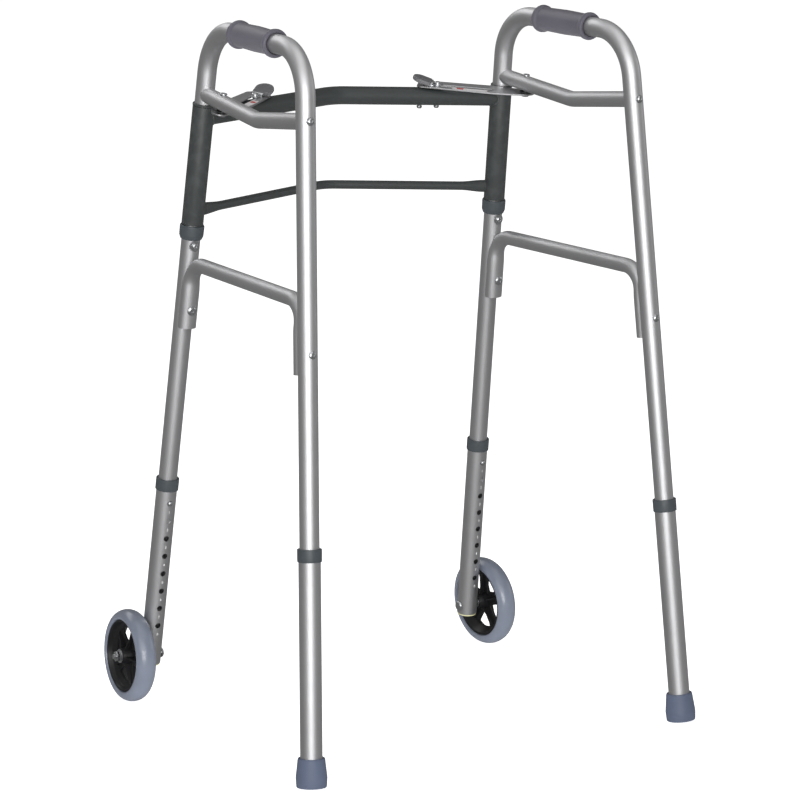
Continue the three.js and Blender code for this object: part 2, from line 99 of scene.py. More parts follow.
# ---------------------------------------------------------------- mesh building
def merge(*parts):
    verts, faces, uvs, offset = [], [], [], 0
    for v, f, uv in parts:
        verts.append(np.asarray(v, float))
        faces += [[i + offset for i in face] for face in f]
        uvs += uv
        offset += len(v)
    return np.vstack(verts), faces, uvs


def ring_grid(rings, lengths, closed_ends=False, wrap=False):
    """Skin over a list of equal rings of points; uv is (turn, length)."""
    n = len(rings[0])
    verts = [p for ring in rings for p in ring]
    faces, uvs = [], []
    count = len(rings)
    for i in range(count if wrap else count - 1):
        j = (i + 1) % count
        la, lb = lengths[i], lengths[i + 1] if i + 1 < len(lengths) else lengths[i] + 1
        for k in range(n):
            m = (k + 1) % n
            faces.append([i * n + k, i * n + m, j * n + m, j * n + k])
            uvs.append([(k / n, la), ((k + 1) / n, la), ((k + 1) / n, lb), (k / n, lb)])
    if closed_ends:
        faces.append(list(range(n - 1, -1, -1)))
        uvs.append([(0.5, lengths[0])] * n)
        faces.append([(count - 1) * n + k for k in range(n)])
        uvs.append([(0.5, lengths[-1])] * n)
    return np.array(verts, float), faces, uvs


def rounded(profile, radius=0.6, steps=3):
    """Profile with its corners rounded; a third value on a corner gives its own radius."""
    out = []
    n = len(profile)
    for i, p in enumerate(profile):
        r = p[2] if len(p) > 2 else radius
        here = arr(p[0], p[1])
        before, after = profile[i - 1], profile[(i + 1) % n]
        a = arr(before[0], before[1]) - here
        b = arr(after[0], after[1]) - here
        la, lb = np.linalg.norm(a), np.linalg.norm(b)
        end = (i in (0, n - 1)) and p[0] < 1e-6
        if end or r <= 0 or la < 1e-6 or lb < 1e-6:
            out.append((here[0], here[1]))
            continue
        a, b = a / la, b / lb
        angle = math.acos(max(-1, min(1, a @ b)))
        if angle > math.pi - 0.05:
            out.append((here[0], here[1]))
            continue
        cut = min(r / math.tan(angle / 2), 0.45 * la, 0.45 * lb)
        start, stop = here + a * cut, here + b * cut
        for k in range(steps + 1):
            t = k / steps
            q = start * (1 - t) ** 2 + here * 2 * t * (1 - t) + stop * t * t
            out.append((q[0], q[1]))
    return out


def basis(direction, hint=None):
    y = unit(np.asarray(direction, float))
    hint = OUTWARD if hint is None else hint
    if abs(hint @ y) > 0.95:
        hint = FRONT_FORE
    x = unit(hint - hint @ y * y)
    return x, y, np.cross(x, y)


def turned(profile, origin, direction, segments=56, hint=None, fillet=0.6):
    """Revolved profile of (radius, height); closed on itself unless it starts on the axis."""
    solid = profile[0][0] < 1e-6
    points = rounded(profile, fillet)
    x, y, z = basis(direction, hint)
    angles = [2 * math.pi * k / segments for k in range(segments)]
    around = [math.cos(a) * x - math.sin(a) * z for a in angles]
    rings, lengths, total, last = [], [], 0.0, None
    for r, h in points:
        if last is not None:
            total += math.hypot(r - last[0], h - last[1])
        last = (r, h)
        r = max(r, 0.02) if solid else r
        rings.append([origin + y * h + c * r for c in around])
        lengths.append(total)
    lengths.append(total + 1)
    return ring_grid(rings, lengths, closed_ends=solid, wrap=not solid)


class Path:
    """Centreline through points with rounded corners, and a frame that turns with it."""

    def __init__(self, points, radii, corner_steps=14, straight=40.0):
        points = [np.asarray(p, float) for p in points]
        at, along = [], []
        last = points[0]
        for i in range(1, len(points)):
            into = unit(points[i] - points[i - 1])
            if i < len(points) - 1:
                out = unit(points[i + 1] - points[i])
                turn = math.acos(max(-1, min(1, into @ out)))
                start = points[i] - into * radii[i - 1] * math.tan(turn / 2)
            else:
                start = points[i]
            run = np.linalg.norm(start - last)
            count = max(1, int(run / straight))
            for k in range(count + (i == len(points) - 1)):
                at.append(last + into * run * k / count)
                along.append(into)
            if i == len(points) - 1:
                break
            side = unit(out - out @ into * into)
            for k in range(corner_steps):
                a = turn * k / corner_steps
                r = radii[i - 1]
                at.append(start + into * r * math.sin(a) + side * r * (1 - math.cos(a)))
                along.append(into * math.cos(a) + side * math.sin(a))
            last = start + into * radii[i - 1] * math.sin(turn)
            last = last + side * radii[i - 1] * (1 - math.cos(turn))
        self.at, self.along = at, along
        steps = [0.0] + [float(np.linalg.norm(b - a)) for a, b in zip(at, at[1:])]
        self.length = list(np.cumsum(steps))

    def frames(self, hint):
        side = unit(hint - hint @ self.along[0] * self.along[0])
        out = []
        for t in self.along:
            side = unit(side - side @ t * t)
            out.append((side, np.cross(t, side)))
        return out


def to_cylinder(p, t, axis_point, axis_dir, radius):
    """How far p moves along t to reach a cylinder's surface, taking the nearer side."""
    d = p - axis_point
    a = t - t @ axis_dir * axis_dir
    b = d - d @ axis_dir * axis_dir
    qa, qb, qc = a @ a, 2 * a @ b, b @ b - radius * radius
    root = math.sqrt(max(qb * qb - 4 * qa * qc, 0.0))
    return min(((-qb + s * root) / (2 * qa) for s in (-1, 1)), key=abs)


def pipe(path, radius, wall=WALL, segments=48, hint=None, cope_start=None, cope_end=None, shape=None):
    """Tube of a wall thickness along a path.

    cope_start and cope_end, each (axis point, axis direction, radius), fit an end to a leg. shape gives the
    tube's two widths, as parts of its radius, from the distance run and the whole length.
    """
    hint = OUTWARD if hint is None else hint
    frames = path.frames(hint)
    skins = []
    for r in (radius, radius - wall):
        rings = []
        for i, (p, t, (side, up)) in enumerate(zip(path.at, path.along, frames)):
            wide, tall = shape(path.length[i], path.length[-1]) if shape else (1.0, 1.0)
            ring = []
            for k in range(segments):
                a = 2 * math.pi * k / segments
                q = p + side * (r * wide * math.cos(a)) + up * (r * tall * math.sin(a))
                cope = cope_start if i == 0 else cope_end if i == len(path.at) - 1 else None
                if cope:
                    q = q + t * to_cylinder(q, t, *cope)
                ring.append(q)
            rings.append(ring)
        skins.append(rings)
    outer, inner = skins
    rings = outer + inner[::-1]
    lengths = path.length + [path.length[-1] + wall + (path.length[-1] - s) for s in path.length[::-1]]
    lengths.append(lengths[-1] + wall)
    verts, faces, uvs = ring_grid(rings, lengths, wrap=True)
    return verts, [f[::-1] for f in faces], [uv[::-1] for uv in uvs]


def clamp_off(part, axis_point, axis_dir, radius):
    """Presses a tube's side into the cup that a round leg leaves in it."""
    verts, faces, uvs = part
    verts = verts.copy()
    for i, p in enumerate(verts):
        d = p - axis_point
        b = d - d @ axis_dir * axis_dir
        r = np.linalg.norm(b)
        if r < radius:
            verts[i] = p + b / r * (radius - r)
    return verts, faces, uvs


def slab(outline, holes, height, place, edge=0.25, base=0.0):
    """Plate with holes and eased edges; place is its origin and three directions, base lifts it off."""
    bm = bmesh.new()
    loops = [outline] + list(holes)
    edges = []
    for loop in loops:
        vs = [bm.verts.new((x, y, 0)) for x, y in loop]
        edges += [bm.edges.new((a, b)) for a, b in zip(vs, vs[1:] + vs[:1])]
    bmesh.ops.triangle_fill(bm, use_beauty=True, use_dissolve=True, edges=edges)
    for f in bm.faces:
        if f.normal.z < 0:
            f.normal_flip()
    grown = bmesh.ops.extrude_face_region(bm, geom=bm.faces[:])
    for v in (g for g in grown["geom"] if isinstance(g, bmesh.types.BMVert)):
        v.co.z += height
    bmesh.ops.recalc_face_normals(bm, faces=bm.faces[:])
    rim = [e for e in bm.edges if len(e.link_faces) == 2 and e.calc_face_angle(0) > 1.2]
    bmesh.ops.bevel(bm, geom=rim, offset=edge, segments=2, affect="EDGES", profile=0.5)
    bm.verts.index_update()
    origin, x, y, z = place
    verts = [origin + x * v.co.x + y * v.co.y + z * (v.co.z + base) for v in bm.verts]
    faces = [[v.index for v in f.verts] for f in bm.faces]
    uvs = [[(v.co.x / 30, v.co.y / 30) for v in f.verts] for f in bm.faces]
    bm.free()
    return np.array(verts, float), faces, uvs


def arc(cx, cy, r, a0, a1, steps=12):
    angles = np.radians(np.linspace(a0, a1, steps + 1))
    return [(cx + r * math.cos(a), cy + r * math.sin(a)) for a in angles]


def face_normals(mesh):
    """Normals that large flat faces hold, so an eased edge doesn't tilt them."""
    total = np.zeros((len(mesh.vertices), 3))
    for poly in mesh.polygons:
        total[list(poly.vertices)] += arr(*poly.normal) * poly.area
    total /= np.maximum(np.linalg.norm(total, axis=1), 1e-12)[:, None]
    mesh.normals_split_custom_set_from_vertices([tuple(n) for n in total])


def piece(name, part, material, body, stands_for=(), sharp=32.0, left=False):
    verts, faces, uvs = part
    verts = verts * MM
    if left:
        verts = verts * arr(-1, 1, 1)
        faces = [f[::-1] for f in faces]
        uvs = [uv[::-1] for uv in uvs]
    mesh = bpy.data.meshes.new(name)
    mesh.from_pydata([tuple(v) for v in verts], [], faces)
    layer = mesh.uv_layers.new(name="UVMap")
    layer.data.foreach_set("uv", [c for uv in uvs for pair in uv for c in pair])
    mesh.validate()
    mesh.polygons.foreach_set("use_smooth", [True] * len(mesh.polygons))
    if sharp:
        mesh.set_sharp_from_angle(angle=math.radians(sharp))
    else:
        face_normals(mesh)
    mesh.materials.append(material)
    obj = bpy.data.objects.new(name, mesh)
    bpy.context.scene.collection.objects.link(obj)
    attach(obj, body)
    if stands_for:
        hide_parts(*stands_for)
    return obj


def pair(name, part, material, body, slot, nodes=(), sharp=32.0):
    """The same piece on the user's right and, mirrored, on the left."""
    for side in ("right", "left"):
        stands_for = [f"{side}_{n}" for n in nodes]
        at = body if body == "front" else f"{side}_{body}"
        piece(f"look_{side}_{name}", part, material, at, stands_for, sharp, side == "left")


# ---------------------------------------------------------------- materials
def material(name, color, rough, metal=0.0, **more):
    """Principled material whose colour, roughness and bump vary at the scales the real surface shows."""
    mat = bpy.data.materials.new(name)
    mat.use_nodes = True
    nodes, links = mat.node_tree.nodes, mat.node_tree.links
    shader = nodes["Principled BSDF"]
    shader.inputs["Metallic"].default_value = metal
    for socket, value in more.get("sockets", {}).items():
        shader.inputs[socket].default_value = value
    coord = nodes.new("ShaderNodeTexCoord")

    def noise(scale, detail, stretch=None, source="Object"):
        mapping = nodes.new("ShaderNodeMapping")
        mapping.inputs["Scale"].default_value = stretch or (1, 1, 1)
        tex = nodes.new("ShaderNodeTexNoise")
        tex.inputs["Scale"].default_value = scale
        tex.inputs["Detail"].default_value = detail
        links.new(coord.outputs[source], mapping.inputs["Vector"])
        links.new(mapping.outputs["Vector"], tex.inputs["Vector"])
        return tex.outputs["Fac"]

    def ramp(source, low, high, start=0.3, stop=0.7):
        node = nodes.new("ShaderNodeMapRange")
        node.inputs["From Min"].default_value = start
        node.inputs["From Max"].default_value = stop
        node.inputs["To Min"].default_value = low
        node.inputs["To Max"].default_value = high
        links.new(source, node.inputs["Value"])
        return node.outputs["Result"]

    mottle = noise(more.get("mottle", 18.0), 4)
    tint = nodes.new("ShaderNodeMix")
    tint.data_type = "RGBA"
    vary = more.get("vary", 0.08)
    tint.inputs["A"].default_value = (*[c * (1 - vary) for c in color], 1)
    tint.inputs["B"].default_value = (*[min(1.0, c * (1 + vary)) for c in color], 1)
    links.new(ramp(mottle, 0.0, 1.0), tint.inputs["Factor"])
    base = tint.outputs["Result"]
    wear = more.get("wear")
    if wear:
        geometry = nodes.new("ShaderNodeNewGeometry")
        edge = ramp(geometry.outputs["Pointiness"], 0.0, 1.0, 0.52, 0.60)
        patch = ramp(noise(90.0, 3), 0.0, wear[1], 0.45, 0.6)
        both = nodes.new("ShaderNodeMath")
        both.operation = "MULTIPLY"
        links.new(edge, both.inputs[0])
        links.new(patch, both.inputs[1])
        worn = nodes.new("ShaderNodeMix")
        worn.data_type = "RGBA"
        worn.inputs["B"].default_value = (*wear[0], 1)
        links.new(both.outputs["Value"], worn.inputs["Factor"])
        links.new(base, worn.inputs["A"])
        base = worn.outputs["Result"]
    links.new(base, shader.inputs["Base Color"])
    stretch = more.get("stretch")
    source = "UV" if stretch else "Object"
    fine = noise(more.get("grain", 900.0), 3, stretch, source)
    spread = more.get("spread", 0.06)
    links.new(ramp(fine, rough - spread, rough + spread), shader.inputs["Roughness"])
    bump = nodes.new("ShaderNodeBump")
    bump.inputs["Strength"].default_value = more.get("bump", 0.15)
    bump.inputs["Distance"].default_value = more.get("depth", 0.0002)
    links.new(fine, bump.inputs["Height"])
    links.new(bump.outputs["Normal"], shader.inputs["Normal"])
    return mat


ALUMINIUM = material(
    "anodised_aluminium", (0.63, 0.63, 0.64), 0.5, 1.0,
    stretch=(160.0, 0.02, 1.0), grain=3.0, spread=0.03, bump=0.012, depth=0.00004, vary=0.03, mottle=9.0,
)
PAINT = material(
    "front_frame_paint", (0.027, 0.031, 0.031), 0.5,
    grain=1500.0, spread=0.05, bump=0.1, depth=0.00004, vary=0.06,
    wear=((0.16, 0.17, 0.17), 0.5), sockets={"Coat Weight": 0.15, "Coat Roughness": 0.35},
)
GRIP = material(
    "grip_vinyl", (0.08, 0.076, 0.097), 0.48,
    grain=1400.0, spread=0.08, bump=0.3, depth=0.0001, vary=0.08, sockets={"Sheen Weight": 0.1},
)
COLLAR = material("collar_plastic", (0.04, 0.049, 0.055), 0.46, grain=700.0, bump=0.12, depth=0.00005)
TIP = material("tip_rubber", (0.07, 0.089, 0.139), 0.58, grain=1100.0, bump=0.3, depth=0.0001, vary=0.1)
TYRE = material(
    "tyre_rubber", (0.155, 0.175, 0.224), 0.34, grain=500.0, spread=0.04, bump=0.02, depth=0.00003, vary=0.05,
    mottle=30.0, sockets={"Coat Weight": 0.5, "Coat Roughness": 0.16},
)
HUB = material(
    "hub_plastic", (0.008, 0.008, 0.009), 0.4, grain=1600.0, bump=0.2, depth=0.00005, vary=0.2,
    wear=((0.02, 0.02, 0.02), 0.5), sockets={"Specular IOR Level": 0.3},
)
STEEL = material(
    "zinc_steel", (0.56, 0.57, 0.58), 0.28, 1.0, grain=260.0, spread=0.07, bump=0.015, depth=0.00002, vary=0.08,
    mottle=120.0,
)
PLATE = material(
    "plate_steel", (0.5, 0.5, 0.51), 0.4, 1.0, grain=260.0, spread=0.04, bump=0.002, depth=0.00001, vary=0.04,
    mottle=120.0,
)
PADDLE = material("paddle_plastic", (0.12, 0.12, 0.128), 0.5, grain=1300.0, bump=0.35, depth=0.0001, vary=0.08)
BLACK = material("black_plastic", (0.012, 0.013, 0.014), 0.48, grain=900.0, bump=0.2, depth=0.00006)
BUSH = material("bush_plastic", (0.03, 0.034, 0.034), 0.5, grain=900.0, bump=0.2, depth=0.00006)
PLUG = material("end_plug_plastic", (0.58, 0.57, 0.33), 0.45, grain=600.0, bump=0.12, depth=0.00005)
LABEL = material("latch_label", (0.72, 0.7, 0.7), 0.4, grain=500.0, bump=0.05, depth=0.00003)
LABEL_MARK = material("latch_label_mark", (0.5, 0.03, 0.03), 0.4, grain=500.0, bump=0.05, depth=0.00003)
MARKS = material("engraved_marks", (0.8, 0.8, 0.8), 0.6, grain=500.0, bump=0.05, depth=0.00003)

# ---------------------------------------------------------------- side frames
HANDLE_Z = 925.8
HANDLE_MID = (front_axis(HANDLE_Z) + rear_axis(HANDLE_Z)) / 2
FRONT_CORNER = meet(front_axis(HANDLE_Z), FRONT_UP, HANDLE_MID, HANDLE)
REAR_CORNER = meet(rear_axis(HANDLE_Z), REAR_UP, HANDLE_MID, HANDLE)
FRONT_LEG_END_Z, REAR_LEG_END_Z, HANDLE_BEND_R = 243.0, 231.0, 66
u_path = Path(
    [front_axis(FRONT_LEG_END_Z), FRONT_CORNER, REAR_CORNER, rear_axis(REAR_LEG_END_Z)],
    [HANDLE_BEND_R, HANDLE_BEND_R], 20)
pair("leg_frame", pipe(u_path, LEG_R, segments=56), ALUMINIUM, "side", "anodised", ["leg_frame"])

GRIP_MID = (FRONT_CORNER + REAR_CORNER) / 2
GRIP_R, FLANGE_R, HALF = 15.8, 18.7, 54.5
grip_profile = [
    (LEG_R + 0.15, -HALF + 3, 0.3), (LEG_R + 1.4, -HALF + 0.4, 0.8), (FLANGE_R - 1.2, -HALF, 1.5),
    (FLANGE_R, -HALF + 3.5, 2.2), (FLANGE_R - 0.4, -HALF + 7, 2), (GRIP_R, -HALF + 10, 3),
    (GRIP_R + 0.9, 0, 60),
    (GRIP_R, HALF - 10, 3), (FLANGE_R - 0.4, HALF - 7, 2), (FLANGE_R, HALF - 3.5, 2.2),
    (FLANGE_R - 1.2, HALF, 1.5), (LEG_R + 1.4, HALF - 0.4, 0.8), (LEG_R + 0.15, HALF - 3, 0.3),
]
pair("grip", turned(grip_profile, GRIP_MID, HANDLE, 64), GRIP, "side", "grip", ["grip"])

SCREW_Z = 834.6
UPPER_R = 10.6
upper_rear = on_rear(SCREW_Z, 0)
UPPER_BEND_REACH, UPPER_BEND_Z, UPPER_FRONT_Z = 132, 823.3, 842.8
UPPER_TRIM = 30
upper_bend = on_rear(SCREW_Z, UPPER_BEND_REACH)
upper_bend[2] = UPPER_BEND_Z
upper_front = front_axis(UPPER_FRONT_Z)
run_rear = unit(upper_bend - upper_rear)
run_front = unit(upper_front - upper_bend)
upper_path = Path(
    [upper_rear + run_rear * UPPER_TRIM, upper_bend, upper_front - run_front * UPPER_TRIM], [60], 10)
pair(
    "upper_brace",
    pipe(
        upper_path, UPPER_R, segments=48,
        cope_start=(rear_axis(SCREW_Z), REAR_UP, LEG_R + 0.1),
        cope_end=(front_axis(842), FRONT_UP, LEG_R + 0.1),
    ),
    ALUMINIUM, "side", "anodised", ["upper_brace"],
)

LOWER_R = 10.0
ARM_REACH = 13.2
lower_points = [
    on_front(531, -ARM_REACH), on_front(619, -ARM_REACH),
    on_rear(611, ARM_REACH), on_rear(520, ARM_REACH),
]
lower_path = Path(lower_points, [34, 34], 14, straight=6.0)


def saddled(s, total):
    """The brace's arms are pressed wider where they hug the legs."""
    t = max(0.0, min(1.0, 1 - (min(s, total - s) - 52) / 30.0))
    return 1 + 0.26 * t * t * (3 - 2 * t), 1.0


lower = pipe(lower_path, LOWER_R, segments=48, shape=saddled)
lower = clamp_off(lower, front_axis(600), FRONT_UP, LEG_R + 0.15)
lower = clamp_off(lower, rear_axis(600), REAR_UP, LEG_R + 0.15)
pair("lower_brace", lower, ALUMINIUM, "side", "anodised", ["lower_brace"])


def domed(at, direction, head_r, head_h, shank_r, shank, recess=0.0):
    """Domed head with its shank running along direction; recess is the radius of a dimple in the head."""
    top = [(0, -head_h * 0.8), (recess, -head_h * 0.8), (recess * 1.05, -head_h)] if recess else [(0, -head_h)]
    profile = top + [
        (head_r * 0.6, -head_h * 0.92, 1.5), (head_r * 0.92, -head_h * 0.5, 1.5), (head_r, 0, 0.3),
        (shank_r, 0, 0.1), (shank_r, shank, 0.3), (0, shank),
    ]
    return turned(profile, at, direction, 32)


def washer(at, direction, inner, outer, thick):
    return turned([(inner, 0), (outer, 0), (outer, thick), (inner, thick)], at, direction, 40, fillet=0.25)


upper_screw = domed(on_rear(SCREW_Z, -LEG_R - 0.6), REAR_FORE, 4.6, 2.6, 2.4, 2 * LEG_R + 1, 1.6)
screw_washer = washer(on_rear(SCREW_Z, -LEG_R - 0.7), REAR_FORE, 2.4, 5.4, 0.9)
pair("upper_screw", merge(upper_screw, screw_washer), STEEL, "side", "steel", ["upper_screw"])
LOWER_FACE = ARM_REACH + LOWER_R
FRONT_RIVET_Z, REAR_RIVET_Z, STOP_Z, BUSH_Z = 556, 546, 641.5, 827.4
front_rivet_at = on_front(FRONT_RIVET_Z, -LOWER_FACE - 0.1)
front_rivet = domed(front_rivet_at, FRONT_FORE, 6.6, 2.8, 2.4, LOWER_FACE - 9, 1.5)
pair("front_brace_rivet", front_rivet, STEEL, "side", "steel", ["front_brace_rivet"])
rear_rivet = domed(on_rear(REAR_RIVET_Z, -LEG_R - 0.1), REAR_FORE, 5.2, 2.5, 2.4, 2 * LEG_R + 8, 1.4)
pair("rear_brace_rivet", rear_rivet, STEEL, "side", "steel", ["rear_brace_rivet"])
stop_head = domed(on_front(STOP_Z, -LEG_R - 0.8), FRONT_FORE, 4.6, 3.2, 2.4, 2 * LEG_R - 2, 1.6)
stop_washer = washer(on_front(STOP_Z, -LEG_R - 0.9), FRONT_FORE, 2.4, 7.4, 1.0)
pair("stop_bolt", merge(stop_head, stop_washer), STEEL, "side", "steel", ["stop_bolt"])
bush_profile = [(BORE_R, 0), (15, 0), (15, 2.6), (14.2, 3.4), (BORE_R, 3.4)]
pair("top_bush", turned(bush_profile, front_axis(BUSH_Z), FRONT_UP), BUSH, "side", "black", ["top_bush"])
collar_profile = [(BORE_R, 0), (14.4, 0, 0.8), (16.2, 5, 2), (16.4, 17.5, 1.6), (15.6, 19, 0.8), (BORE_R, 19)]
SLEEVE_TOP_Z, SLEEVE_BOTTOM_Z = 827.0, 668.5
sleeve_collar = turned(collar_profile, front_axis(SLEEVE_BOTTOM_Z - 19.6), FRONT_UP, 64)
pair("sleeve_collar", sleeve_collar, COLLAR, "side", "collar", ["sleeve_collar"])

# ---------------------------------------------------------------- front frame
CROSSBAR_R = 12.4
CROSSBAR_Z, CROSSBAR_BOW, CROSSBAR_RISE = 812.5, 60, 10
CROSSBAR_TRIM = 30
cross_end = front_axis(CROSSBAR_Z)
cross_mid = arr(0, cross_end[1] + CROSSBAR_BOW, CROSSBAR_Z + CROSSBAR_RISE)
cross_dir = unit(cross_mid - cross_end)
mirror_x = arr(-1, 1, 1)
sleeve_len = np.linalg.norm(front_axis(SLEEVE_TOP_Z) - front_axis(SLEEVE_BOTTOM_Z))
sleeve_profile = [
    (BORE_R, 0, 0.3), (SLEEVE_R, 0, 0.5), (SLEEVE_R, sleeve_len, 0.5), (BORE_R, sleeve_len, 0.3),
]
sleeve = turned(sleeve_profile, front_axis(SLEEVE_BOTTOM_Z), FRONT_UP, 64)
pair("sleeve", sleeve, PAINT, "front", "frontPaint")
cope_right = (cross_end, FRONT_UP, SLEEVE_R - 0.05)
cope_left = (cross_end * mirror_x, FRONT_UP * mirror_x, SLEEVE_R - 0.05)
cross_start = cross_end + cross_dir * CROSSBAR_TRIM
cross_path = Path([cross_start, cross_mid, cross_start * mirror_x], [70], 12)
crossbar = pipe(
    cross_path, CROSSBAR_R, segments=56, hint=arr(0, 0, 1), cope_start=cope_right, cope_end=cope_left)
piece("look_crossbar", crossbar, PAINT, "front", ["front_frame"])


def weld_bead(path_point, direction, radius, cope, thick=1.5, segments=48):
    """Bead that follows the seam where a bar of some radius meets a sleeve."""
    x, y, z = basis(direction, arr(0, 0, 1))
    seam = []
    for k in range(segments):
        a = 2 * math.pi * k / segments
        p = path_point + (x * math.cos(a) + z * math.sin(a)) * radius
        seam.append(p - y * to_cylinder(p, -y, *cope))
    rings = []
    for k, p in enumerate(seam):
        t = unit(seam[(k + 1) % segments] - seam[k - 1])
        n = unit(p - path_point - (p - path_point) @ y * y)
        b = np.cross(t, n)
        size = thick * (1 + 0.12 * math.sin(k * 2.6))
        around = np.radians(range(0, 360, 36))
        rings.append([p + n * math.cos(c) * size + b * math.sin(c) * size for c in around])
    return ring_grid(rings, list(range(segments + 1)), wrap=True)


pair("crossbar_weld", weld_bead(cross_start, cross_dir, CROSSBAR_R, cope_right), PAINT, "front", "frontPaint")
LOW_R, LOW_Z, LOW_BOW, LOW_RISE, LOW_TRIM = 6.0, 686, 67, 11.5, 17
low_end = front_axis(LOW_Z)
low_mid = arr(0, low_end[1] + LOW_BOW, LOW_Z + LOW_RISE)
low_start = low_end + unit(low_mid - low_end) * LOW_TRIM


def flattened(s, total):
    """The lower bar's ends are pressed flat and wide where they meet the sleeves."""
    near = min(s, total - s)
    t = max(0.0, min(1.0, 1 - near / 34.0))
    t = t * t * (3 - 2 * t)
    return 1 + 0.42 * t, 1 - 0.25 * t


low_path = Path([low_start, low_mid, low_start * mirror_x], [60], 12, straight=5.0)
low_bar = pipe(
    low_path, LOW_R, wall=1.2, segments=36, hint=arr(0, 0, 1), shape=flattened,
    cope_start=(low_end, FRONT_UP, SLEEVE_R - 0.05),
    cope_end=(low_end * mirror_x, FRONT_UP * mirror_x, SLEEVE_R - 0.05),
)
piece("look_lower_bar", low_bar, PAINT, "front")

# ---------------------------------------------------------------- latches
SLOT_REACH, LOCK_REACH, PLATE_T, OVERHANG, RIVET_REACH = 93.0, 24.5, 2.0, 27.5, 54.0
pivot_on_brace = upper_front - run_front * (RIVET_REACH / abs(run_front @ FRONT_FORE))
slot_pin_on = cross_end + cross_dir * (SLOT_REACH / math.hypot(cross_dir[0], cross_dir[1]))
inboard = unit(cross_dir - cross_dir @ FRONT_UP * FRONT_UP)
plate_gap = 0.4 + (cross_dir @ FRONT_UP) / (cross_dir @ inboard) * OVERHANG
slot_pin = slot_pin_on + FRONT_UP * (CROSSBAR_R + plate_gap)
pivot_drop = (pivot_on_brace - slot_pin) @ FRONT_UP
pivot = pivot_on_brace - FRONT_UP * pivot_drop
lock_pin = slot_pin + inboard * LOCK_REACH
plate_dir = unit(slot_pin - pivot)
plate_side = np.cross(FRONT_UP, plate_dir)
span = np.linalg.norm(slot_pin - pivot)
plate_place = (pivot, plate_dir, plate_side, FRONT_UP)


def curve_to(p0, c, p1, steps=8):
    return [
        tuple(arr(*p0) * (1 - t) ** 2 + arr(*c) * 2 * t * (1 - t) + arr(*p1) * t * t)
        for t in np.linspace(0, 1, steps + 1)[1:]
    ]


end = span + OVERHANG
outline = [(-6, -12), (14, -20), (52, -24), (span + 20, -20)]
outline += curve_to((span + 20, -20), (end, -18), (end, -8)) + [(end, 8)]
outline += curve_to((end, 8), (end, 14), (span + 20, 15)) + [(60, 17)]
outline += curve_to((60, 17), (30, 17), (6, 12)) + curve_to((6, 12), (-12, 8), (-12, -2))
outline += curve_to((-12, -2), (-12, -9), (-6, -12))[:-1]
slot_loop = arc(span, 0, 4, -90, 90) + arc(span - 74, 0, 4, 90, 270)
eye = arc(0, 0, 3.2, 0, 360, 20)[:-1]
plate = slab(outline, [slot_loop, eye], PLATE_T, plate_place, 0.35)
pair("latch_plate", plate, PLATE, "latch", "steel", ["latch_plate"], 18)

label = [(span - 70, 5.4), (span - 22, 5.4), (span - 22, 14.4), (span - 70, 14.4)]
mark = [(span - 37, 6.6), (span - 28, 6.6), (span - 28, 13.2), (span - 37, 13.2)]
label_slab = slab(label, [], 0.12, plate_place, 0.03, PLATE_T + 0.02)
mark_slab = slab(mark, [], 0.05, plate_place, 0.01, PLATE_T + 0.15)
pair("latch_label", label_slab, LABEL, "latch", "steel", sharp=18)
pair("latch_label_mark", mark_slab, LABEL_MARK, "latch", "steel", sharp=18)

rivet_top = pivot_drop + UPPER_R + 0.3
spacer_h = pivot_drop - UPPER_R - PLATE_T - 1.3
rivet_profile = [
    (0, -3), (5, -2.8, 1), (5.4, -0.7), (2.5, -0.7, 0), (2.5, rivet_top, 0), (5.2, rivet_top, 0.4),
    (4.8, rivet_top + 1.6, 1.2), (2.6, rivet_top + 2.3, 0.5), (2.0, rivet_top + 1.6, 0.3),
    (0, rivet_top + 1.5),
]
pair("plate_rivet", turned(rivet_profile, pivot, FRONT_UP, 36), STEEL, "side", "steel", ["plate_rivet"])
spacer_profile = [(2.8, 0), (8, 0), (8, spacer_h), (2.8, spacer_h)]
spacer = turned(spacer_profile, pivot + FRONT_UP * (PLATE_T + 0.9), FRONT_UP, 40, fillet=0.3)
pair("plate_spacer", spacer, BLACK, "side", "black", ["plate_spacer"])
head = turned(
    [(0, 0.1), (3.2, 0.1), (3.2, PLATE_T + 0.3, 0), (7.5, PLATE_T + 0.3, 0.3), (7.5, PLATE_T + 1.5, 0.3),
     (4.8, PLATE_T + 1.5, 0.1), (4.6, PLATE_T + 4, 1.2), (3, PLATE_T + 5, 0.8), (0, PLATE_T + 5.2)],
    slot_pin, FRONT_UP, 36)
pair("slot_pin_head", head, STEEL, "latch_slider", "steel", ["slot_pin_head"])
pin_foot = -(2 * CROSSBAR_R + plate_gap + 3)
for pin_name, pin_at, pin_top in (("slot_pin", slot_pin, -0.3), ("lock_pin", lock_pin, -0.4)):
    pin_profile = [
        (0, pin_foot - 1), (2.6, pin_foot - 0.8, 0.8), (3.7, pin_foot + 0.6, 1), (3.7, pin_foot + 2.6),
        (2.8, pin_foot + 2.6, 0), (2.8, pin_top), (0, pin_top),
    ]
    pair(pin_name, turned(pin_profile, pin_at, FRONT_UP, 32), STEEL, "front", "steel", [pin_name])

